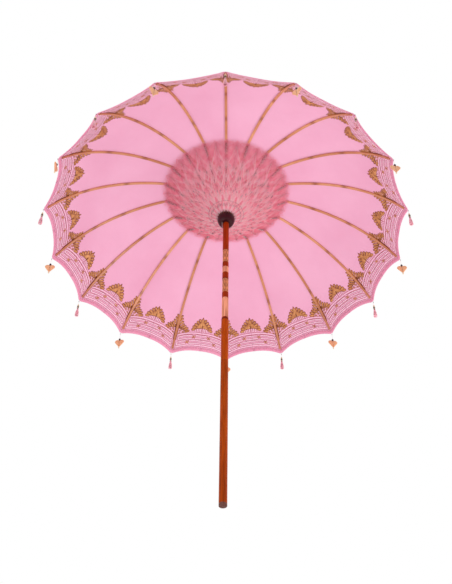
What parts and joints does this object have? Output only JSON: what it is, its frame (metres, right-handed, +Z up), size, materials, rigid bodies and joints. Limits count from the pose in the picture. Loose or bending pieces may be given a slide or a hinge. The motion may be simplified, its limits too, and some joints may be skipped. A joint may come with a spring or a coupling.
{
  "type": "garden parasol",
  "caption": "Folding garden parasol: two-part wooden pole, sliding runner, slotted hub, split-cane ribs and stretchers, cotton canopy with string web and hanging corner ornaments.",
  "frame": {"origin": "middle of the pole's foot", "axes": "+Z up the pole, with the canopy open; the first rib points along -Y"},
  "size_m": [2.0282, 2.0237, 2.35],
  "materials": {
    "pole_lacquer": "gloss",
    "painted_wood": "satin paint in red and peach bands",
    "hub_lacquer": "gloss lacquer",
    "steel": "drawn wire",
    "cotton": "plain woven cotton",
    "bamboo": "split cane, satin",
    "tassel_yarn": "twisted yarn",
    "heart_wood": "satin"
  },
  "bodies": {
    "lower_pole": {"pole_lower": "pole_lacquer"},
    "upper_pole": {"pole_upper": "painted_wood", "crown": "hub_lacquer", "canopy": "cotton"},
    "runner": {"runner": "hub_lacquer"},
    "lock_pin": {"lock_pin": "steel"},
    "rib_01": {"rib_01": "bamboo"},
    "stretcher_01": {"stretcher_01": "bamboo"},
    "tassel_01": {"tassel_01": "tassel_yarn"},
    "rib_02": {"rib_02": "bamboo"},
    "stretcher_02": {"stretcher_02": "bamboo"},
    "heart_02": {"heart_02": "heart_wood"},
    "rib_03": {"rib_03": "bamboo"},
    "stretcher_03": {"stretcher_03": "bamboo"},
    "tassel_03": {"tassel_03": "tassel_yarn"},
    "rib_04": {"rib_04": "bamboo"},
    "stretcher_04": {"stretcher_04": "bamboo"},
    "heart_04": {"heart_04": "heart_wood"},
    "rib_05": {"rib_05": "bamboo"},
    "stretcher_05": {"stretcher_05": "bamboo"},
    "tassel_05": {"tassel_05": "tassel_yarn"},
    "rib_06": {"rib_06": "bamboo"},
    "stretcher_06": {"stretcher_06": "bamboo"},
    "heart_06": {"heart_06": "heart_wood"},
    "rib_07": {"rib_07": "bamboo"},
    "stretcher_07": {"stretcher_07": "bamboo"},
    "tassel_07": {"tassel_07": "tassel_yarn"},
    "rib_08": {"rib_08": "bamboo"},
    "stretcher_08": {"stretcher_08": "bamboo"},
    "heart_08": {"heart_08": "heart_wood"},
    "rib_09": {"rib_09": "bamboo"},
    "stretcher_09": {"stretcher_09": "bamboo"},
    "tassel_09": {"tassel_09": "tassel_yarn"},
    "rib_10": {"rib_10": "bamboo"},
    "stretcher_10": {"stretcher_10": "bamboo"},
    "heart_10": {"heart_10": "heart_wood"},
    "rib_11": {"rib_11": "bamboo"},
    "stretcher_11": {"stretcher_11": "bamboo"},
    "tassel_11": {"tassel_11": "tassel_yarn"},
    "rib_12": {"rib_12": "bamboo"},
    "stretcher_12": {"stretcher_12": "bamboo"},
    "heart_12": {"heart_12": "heart_wood"},
    "rib_13": {"rib_13": "bamboo"},
    "stretcher_13": {"stretcher_13": "bamboo"},
    "tassel_13": {"tassel_13": "tassel_yarn"},
    "rib_14": {"rib_14": "bamboo"},
    "stretcher_14": {"stretcher_14": "bamboo"},
    "heart_14": {"heart_14": "heart_wood"},
    "rib_15": {"rib_15": "bamboo"},
    "stretcher_15": {"stretcher_15": "bamboo"},
    "tassel_15": {"tassel_15": "tassel_yarn"},
    "rib_16": {"rib_16": "bamboo"},
    "stretcher_16": {"stretcher_16": "bamboo"},
    "heart_16": {"heart_16": "heart_wood"},
    "rib_17": {"rib_17": "bamboo"},
    "stretcher_17": {"stretcher_17": "bamboo"},
    "tassel_17": {"tassel_17": "tassel_yarn"},
    "rib_18": {"rib_18": "bamboo"},
    "stretcher_18": {"stretcher_18": "bamboo"},
    "heart_18": {"heart_18": "heart_wood"}
  },
  "joints": [
    {"name": "pole_joint", "type": "slide", "parent": "lower_pole", "child": "upper_pole", "axis": [0, 0, 1], "range_m": [0, 0.11]},
    {"name": "runner_slide", "type": "slide", "parent": "upper_pole", "child": "runner", "axis": [0, 0, 1], "range_m": [-0.39419, 0], "deforming": ["canopy"]},
    {"name": "lock_pin_swing", "type": "hinge", "parent": "runner", "child": "lock_pin", "pos_m": [-0.02068, -0.01736, 1.8735], "axis": [0.6428, -0.766, 0], "range_deg": [-60, 6]},
    {"name": "rib_hinge_01", "type": "hinge", "parent": "upper_pole", "child": "rib_01", "pos_m": [0, -0.035, 2.20096], "axis": [1, 0, 0], "range_deg": [0, 61.01]},
    {"name": "rib_hinge_02", "type": "hinge", "parent": "upper_pole", "child": "rib_02", "pos_m": [-0.01197, -0.03289, 2.20096], "axis": [0.9397, -0.342, 0], "range_deg": [0, 61.01]},
    {"name": "rib_hinge_03", "type": "hinge", "parent": "upper_pole", "child": "rib_03", "pos_m": [-0.0225, -0.02681, 2.20096], "axis": [0.766, -0.6428, 0], "range_deg": [0, 61.01]},
    {"name": "rib_hinge_04", "type": "hinge", "parent": "upper_pole", "child": "rib_04", "pos_m": [-0.03031, -0.0175, 2.20096], "axis": [0.5, -0.866, 0], "range_deg": [0, 61.01]},
    {"name": "rib_hinge_05", "type": "hinge", "parent": "upper_pole", "child": "rib_05", "pos_m": [-0.03447, -0.00608, 2.20096], "axis": [0.1736, -0.9848, 0], "range_deg": [0, 61.01]},
    {"name": "rib_hinge_06", "type": "hinge", "parent": "upper_pole", "child": "rib_06", "pos_m": [-0.03447, 0.00608, 2.20096], "axis": [-0.1736, -0.9848, 0], "range_deg": [0, 61.01]},
    {"name": "rib_hinge_07", "type": "hinge", "parent": "upper_pole", "child": "rib_07", "pos_m": [-0.03031, 0.0175, 2.20096], "axis": [-0.5, -0.866, 0], "range_deg": [0, 61.01]},
    {"name": "rib_hinge_08", "type": "hinge", "parent": "upper_pole", "child": "rib_08", "pos_m": [-0.0225, 0.02681, 2.20096], "axis": [-0.766, -0.6428, 0], "range_deg": [0, 61.01]},
    {"name": "rib_hinge_09", "type": "hinge", "parent": "upper_pole", "child": "rib_09", "pos_m": [-0.01197, 0.03289, 2.20096], "axis": [-0.9397, -0.342, 0], "range_deg": [0, 61.01]},
    {"name": "rib_hinge_10", "type": "hinge", "parent": "upper_pole", "child": "rib_10", "pos_m": [0, 0.035, 2.20096], "axis": [-1, 0, 0], "range_deg": [0, 61.01]},
    {"name": "rib_hinge_11", "type": "hinge", "parent": "upper_pole", "child": "rib_11", "pos_m": [0.01197, 0.03289, 2.20096], "axis": [-0.9397, 0.342, 0], "range_deg": [0, 61.01]},
    {"name": "rib_hinge_12", "type": "hinge", "parent": "upper_pole", "child": "rib_12", "pos_m": [0.0225, 0.02681, 2.20096], "axis": [-0.766, 0.6428, 0], "range_deg": [0, 61.01]},
    {"name": "rib_hinge_13", "type": "hinge", "parent": "upper_pole", "child": "rib_13", "pos_m": [0.03031, 0.0175, 2.20096], "axis": [-0.5, 0.866, 0], "range_deg": [0, 61.01]},
    {"name": "rib_hinge_14", "type": "hinge", "parent": "upper_pole", "child": "rib_14", "pos_m": [0.03447, 0.00608, 2.20096], "axis": [-0.1736, 0.9848, 0], "range_deg": [0, 61.01]},
    {"name": "rib_hinge_15", "type": "hinge", "parent": "upper_pole", "child": "rib_15", "pos_m": [0.03447, -0.00608, 2.20096], "axis": [0.1736, 0.9848, 0], "range_deg": [0, 61.01]},
    {"name": "rib_hinge_16", "type": "hinge", "parent": "upper_pole", "child": "rib_16", "pos_m": [0.03031, -0.0175, 2.20096], "axis": [0.5, 0.866, 0], "range_deg": [0, 61.01]},
    {"name": "rib_hinge_17", "type": "hinge", "parent": "upper_pole", "child": "rib_17", "pos_m": [0.0225, -0.02681, 2.20096], "axis": [0.766, 0.6428, 0], "range_deg": [0, 61.01]},
    {"name": "rib_hinge_18", "type": "hinge", "parent": "upper_pole", "child": "rib_18", "pos_m": [0.01197, -0.03289, 2.20096], "axis": [0.9397, 0.342, 0], "range_deg": [0, 61.01]},
    {"name": "stretcher_hinge_01", "type": "hinge", "parent": "runner", "child": "stretcher_01", "pos_m": [0, -0.039, 1.935], "axis": [1, 0, 0], "range_deg": [-32.92, 0]},
    {"name": "stretcher_hinge_02", "type": "hinge", "parent": "runner", "child": "stretcher_02", "pos_m": [-0.01334, -0.03665, 1.935], "axis": [0.9397, -0.342, 0], "range_deg": [-32.92, 0]},
    {"name": "stretcher_hinge_03", "type": "hinge", "parent": "runner", "child": "stretcher_03", "pos_m": [-0.02507, -0.02988, 1.935], "axis": [0.766, -0.6428, 0], "range_deg": [-32.92, 0]},
    {"name": "stretcher_hinge_04", "type": "hinge", "parent": "runner", "child": "stretcher_04", "pos_m": [-0.03377, -0.0195, 1.935], "axis": [0.5, -0.866, 0], "range_deg": [-32.92, 0]},
    {"name": "stretcher_hinge_05", "type": "hinge", "parent": "runner", "child": "stretcher_05", "pos_m": [-0.03841, -0.00677, 1.935], "axis": [0.1736, -0.9848, 0], "range_deg": [-32.92, 0]},
    {"name": "stretcher_hinge_06", "type": "hinge", "parent": "runner", "child": "stretcher_06", "pos_m": [-0.03841, 0.00677, 1.935], "axis": [-0.1736, -0.9848, 0], "range_deg": [-32.92, 0]},
    {"name": "stretcher_hinge_07", "type": "hinge", "parent": "runner", "child": "stretcher_07", "pos_m": [-0.03377, 0.0195, 1.935], "axis": [-0.5, -0.866, 0], "range_deg": [-32.92, 0]},
    {"name": "stretcher_hinge_08", "type": "hinge", "parent": "runner", "child": "stretcher_08", "pos_m": [-0.02507, 0.02988, 1.935], "axis": [-0.766, -0.6428, 0], "range_deg": [-32.92, 0]},
    {"name": "stretcher_hinge_09", "type": "hinge", "parent": "runner", "child": "stretcher_09", "pos_m": [-0.01334, 0.03665, 1.935], "axis": [-0.9397, -0.342, 0], "range_deg": [-32.92, 0]},
    {"name": "stretcher_hinge_10", "type": "hinge", "parent": "runner", "child": "stretcher_10", "pos_m": [0, 0.039, 1.935], "axis": [-1, 0, 0], "range_deg": [-32.92, 0]},
    {"name": "stretcher_hinge_11", "type": "hinge", "parent": "runner", "child": "stretcher_11", "pos_m": [0.01334, 0.03665, 1.935], "axis": [-0.9397, 0.342, 0], "range_deg": [-32.92, 0]},
    {"name": "stretcher_hinge_12", "type": "hinge", "parent": "runner", "child": "stretcher_12", "pos_m": [0.02507, 0.02988, 1.935], "axis": [-0.766, 0.6428, 0], "range_deg": [-32.92, 0]},
    {"name": "stretcher_hinge_13", "type": "hinge", "parent": "runner", "child": "stretcher_13", "pos_m": [0.03377, 0.0195, 1.935], "axis": [-0.5, 0.866, 0], "range_deg": [-32.92, 0]},
    {"name": "stretcher_hinge_14", "type": "hinge", "parent": "runner", "child": "stretcher_14", "pos_m": [0.03841, 0.00677, 1.935], "axis": [-0.1736, 0.9848, 0], "range_deg": [-32.92, 0]},
    {"name": "stretcher_hinge_15", "type": "hinge", "parent": "runner", "child": "stretcher_15", "pos_m": [0.03841, -0.00677, 1.935], "axis": [0.1736, 0.9848, 0], "range_deg": [-32.92, 0]},
    {"name": "stretcher_hinge_16", "type": "hinge", "parent": "runner", "child": "stretcher_16", "pos_m": [0.03377, -0.0195, 1.935], "axis": [0.5, 0.866, 0], "range_deg": [-32.92, 0]},
    {"name": "stretcher_hinge_17", "type": "hinge", "parent": "runner", "child": "stretcher_17", "pos_m": [0.02507, -0.02988, 1.935], "axis": [0.766, 0.6428, 0], "range_deg": [-32.92, 0]},
    {"name": "stretcher_hinge_18", "type": "hinge", "parent": "runner", "child": "stretcher_18", "pos_m": [0.01334, -0.03665, 1.935], "axis": [0.9397, 0.342, 0], "range_deg": [-32.92, 0]},
    {"name": "tassel_01_hang", "type": "hinge", "parent": "rib_01", "child": "tassel_01", "pos_m": [0, -1.00163, 1.78143], "axis": [1, 0, 0], "range_deg": [-61.01, 0]},
    {"name": "heart_02_hang", "type": "hinge", "parent": "rib_02", "child": "heart_02", "pos_m": [-0.34258, -0.94123, 1.78143], "axis": [0.9397, -0.342, 0], "range_deg": [-61.01, 0]},
    {"name": "tassel_03_hang", "type": "hinge", "parent": "rib_03", "child": "tassel_03", "pos_m": [-0.64384, -0.7673, 1.78143], "axis": [0.766, -0.6428, 0], "range_deg": [-61.01, 0]},
    {"name": "heart_04_hang", "type": "hinge", "parent": "rib_04", "child": "heart_04", "pos_m": [-0.86744, -0.50082, 1.78143], "axis": [0.5, -0.866, 0], "range_deg": [-61.01, 0]},
    {"name": "tassel_05_hang", "type": "hinge", "parent": "rib_05", "child": "tassel_05", "pos_m": [-0.98642, -0.17393, 1.78143], "axis": [0.1736, -0.9848, 0], "range_deg": [-61.01, 0]},
    {"name": "heart_06_hang", "type": "hinge", "parent": "rib_06", "child": "heart_06", "pos_m": [-0.98642, 0.17393, 1.78143], "axis": [-0.1736, -0.9848, 0], "range_deg": [-61.01, 0]},
    {"name": "tassel_07_hang", "type": "hinge", "parent": "rib_07", "child": "tassel_07", "pos_m": [-0.86744, 0.50082, 1.78143], "axis": [-0.5, -0.866, 0], "range_deg": [-61.01, 0]},
    {"name": "heart_08_hang", "type": "hinge", "parent": "rib_08", "child": "heart_08", "pos_m": [-0.64384, 0.7673, 1.78143], "axis": [-0.766, -0.6428, 0], "range_deg": [-61.01, 0]},
    {"name": "tassel_09_hang", "type": "hinge", "parent": "rib_09", "child": "tassel_09", "pos_m": [-0.34258, 0.94123, 1.78143], "axis": [-0.9397, -0.342, 0], "range_deg": [-61.01, 0]},
    {"name": "heart_10_hang", "type": "hinge", "parent": "rib_10", "child": "heart_10", "pos_m": [0, 1.00163, 1.78143], "axis": [-1, 0, 0], "range_deg": [-61.01, 0]},
    {"name": "tassel_11_hang", "type": "hinge", "parent": "rib_11", "child": "tassel_11", "pos_m": [0.34258, 0.94123, 1.78143], "axis": [-0.9397, 0.342, 0], "range_deg": [-61.01, 0]},
    {"name": "heart_12_hang", "type": "hinge", "parent": "rib_12", "child": "heart_12", "pos_m": [0.64384, 0.7673, 1.78143], "axis": [-0.766, 0.6428, 0], "range_deg": [-61.01, 0]},
    {"name": "tassel_13_hang", "type": "hinge", "parent": "rib_13", "child": "tassel_13", "pos_m": [0.86744, 0.50082, 1.78143], "axis": [-0.5, 0.866, 0], "range_deg": [-61.01, 0]},
    {"name": "heart_14_hang", "type": "hinge", "parent": "rib_14", "child": "heart_14", "pos_m": [0.98642, 0.17393, 1.78143], "axis": [-0.1736, 0.9848, 0], "range_deg": [-61.01, 0]},
    {"name": "tassel_15_hang", "type": "hinge", "parent": "rib_15", "child": "tassel_15", "pos_m": [0.98642, -0.17393, 1.78143], "axis": [0.1736, 0.9848, 0], "range_deg": [-61.01, 0]},
    {"name": "heart_16_hang", "type": "hinge", "parent": "rib_16", "child": "heart_16", "pos_m": [0.86744, -0.50082, 1.78143], "axis": [0.5, 0.866, 0], "range_deg": [-61.01, 0]},
    {"name": "tassel_17_hang", "type": "hinge", "parent": "rib_17", "child": "tassel_17", "pos_m": [0.64384, -0.7673, 1.78143], "axis": [0.766, 0.6428, 0], "range_deg": [-61.01, 0]},
    {"name": "heart_18_hang", "type": "hinge", "parent": "rib_18", "child": "heart_18", "pos_m": [0.34258, -0.94123, 1.78143], "axis": [0.9397, 0.342, 0], "range_deg": [-61.01, 0]}
  ],
  "couplings": [
    {"joint": "rib_hinge_01", "follows": "runner_slide", "rad_per_m": -2.7009},
    {"joint": "rib_hinge_02", "follows": "runner_slide", "rad_per_m": -2.7009},
    {"joint": "rib_hinge_03", "follows": "runner_slide", "rad_per_m": -2.7009},
    {"joint": "rib_hinge_04", "follows": "runner_slide", "rad_per_m": -2.7009},
    {"joint": "rib_hinge_05", "follows": "runner_slide", "rad_per_m": -2.7009},
    {"joint": "rib_hinge_06", "follows": "runner_slide", "rad_per_m": -2.7009},
    {"joint": "rib_hinge_07", "follows": "runner_slide", "rad_per_m": -2.7009},
    {"joint": "rib_hinge_08", "follows": "runner_slide", "rad_per_m": -2.7009},
    {"joint": "rib_hinge_09", "follows": "runner_slide", "rad_per_m": -2.7009},
    {"joint": "rib_hinge_10", "follows": "runner_slide", "rad_per_m": -2.7009},
    {"joint": "rib_hinge_11", "follows": "runner_slide", "rad_per_m": -2.7009},
    {"joint": "rib_hinge_12", "follows": "runner_slide", "rad_per_m": -2.7009},
    {"joint": "rib_hinge_13", "follows": "runner_slide", "rad_per_m": -2.7009},
    {"joint": "rib_hinge_14", "follows": "runner_slide", "rad_per_m": -2.7009},
    {"joint": "rib_hinge_15", "follows": "runner_slide", "rad_per_m": -2.7009},
    {"joint": "rib_hinge_16", "follows": "runner_slide", "rad_per_m": -2.7009},
    {"joint": "rib_hinge_17", "follows": "runner_slide", "rad_per_m": -2.7009},
    {"joint": "rib_hinge_18", "follows": "runner_slide", "rad_per_m": -2.7009},
    {"joint": "stretcher_hinge_01", "follows": "runner_slide", "rad_per_m": 1.4571},
    {"joint": "stretcher_hinge_02", "follows": "runner_slide", "rad_per_m": 1.4571},
    {"joint": "stretcher_hinge_03", "follows": "runner_slide", "rad_per_m": 1.4571},
    {"joint": "stretcher_hinge_04", "follows": "runner_slide", "rad_per_m": 1.4571},
    {"joint": "stretcher_hinge_05", "follows": "runner_slide", "rad_per_m": 1.4571},
    {"joint": "stretcher_hinge_06", "follows": "runner_slide", "rad_per_m": 1.4571},
    {"joint": "stretcher_hinge_07", "follows": "runner_slide", "rad_per_m": 1.4571},
    {"joint": "stretcher_hinge_08", "follows": "runner_slide", "rad_per_m": 1.4571},
    {"joint": "stretcher_hinge_09", "follows": "runner_slide", "rad_per_m": 1.4571},
    {"joint": "stretcher_hinge_10", "follows": "runner_slide", "rad_per_m": 1.4571},
    {"joint": "stretcher_hinge_11", "follows": "runner_slide", "rad_per_m": 1.4571},
    {"joint": "stretcher_hinge_12", "follows": "runner_slide", "rad_per_m": 1.4571},
    {"joint": "stretcher_hinge_13", "follows": "runner_slide", "rad_per_m": 1.4571},
    {"joint": "stretcher_hinge_14", "follows": "runner_slide", "rad_per_m": 1.4571},
    {"joint": "stretcher_hinge_15", "follows": "runner_slide", "rad_per_m": 1.4571},
    {"joint": "stretcher_hinge_16", "follows": "runner_slide", "rad_per_m": 1.4571},
    {"joint": "stretcher_hinge_17", "follows": "runner_slide", "rad_per_m": 1.4571},
    {"joint": "stretcher_hinge_18", "follows": "runner_slide", "rad_per_m": 1.4571},
    {"joint": "tassel_01_hang", "follows": "runner_slide", "rad_per_m": 2.7009},
    {"joint": "heart_02_hang", "follows": "runner_slide", "rad_per_m": 2.7009},
    {"joint": "tassel_03_hang", "follows": "runner_slide", "rad_per_m": 2.7009},
    {"joint": "heart_04_hang", "follows": "runner_slide", "rad_per_m": 2.7009},
    {"joint": "tassel_05_hang", "follows": "runner_slide", "rad_per_m": 2.7009},
    {"joint": "heart_06_hang", "follows": "runner_slide", "rad_per_m": 2.7009},
    {"joint": "tassel_07_hang", "follows": "runner_slide", "rad_per_m": 2.7009},
    {"joint": "heart_08_hang", "follows": "runner_slide", "rad_per_m": 2.7009},
    {"joint": "tassel_09_hang", "follows": "runner_slide", "rad_per_m": 2.7009},
    {"joint": "heart_10_hang", "follows": "runner_slide", "rad_per_m": 2.7009},
    {"joint": "tassel_11_hang", "follows": "runner_slide", "rad_per_m": 2.7009},
    {"joint": "heart_12_hang", "follows": "runner_slide", "rad_per_m": 2.7009},
    {"joint": "tassel_13_hang", "follows": "runner_slide", "rad_per_m": 2.7009},
    {"joint": "heart_14_hang", "follows": "runner_slide", "rad_per_m": 2.7009},
    {"joint": "tassel_15_hang", "follows": "runner_slide", "rad_per_m": 2.7009},
    {"joint": "heart_16_hang", "follows": "runner_slide", "rad_per_m": 2.7009},
    {"joint": "tassel_17_hang", "follows": "runner_slide", "rad_per_m": 2.7009},
    {"joint": "heart_18_hang", "follows": "runner_slide", "rad_per_m": 2.7009}
  ]
}
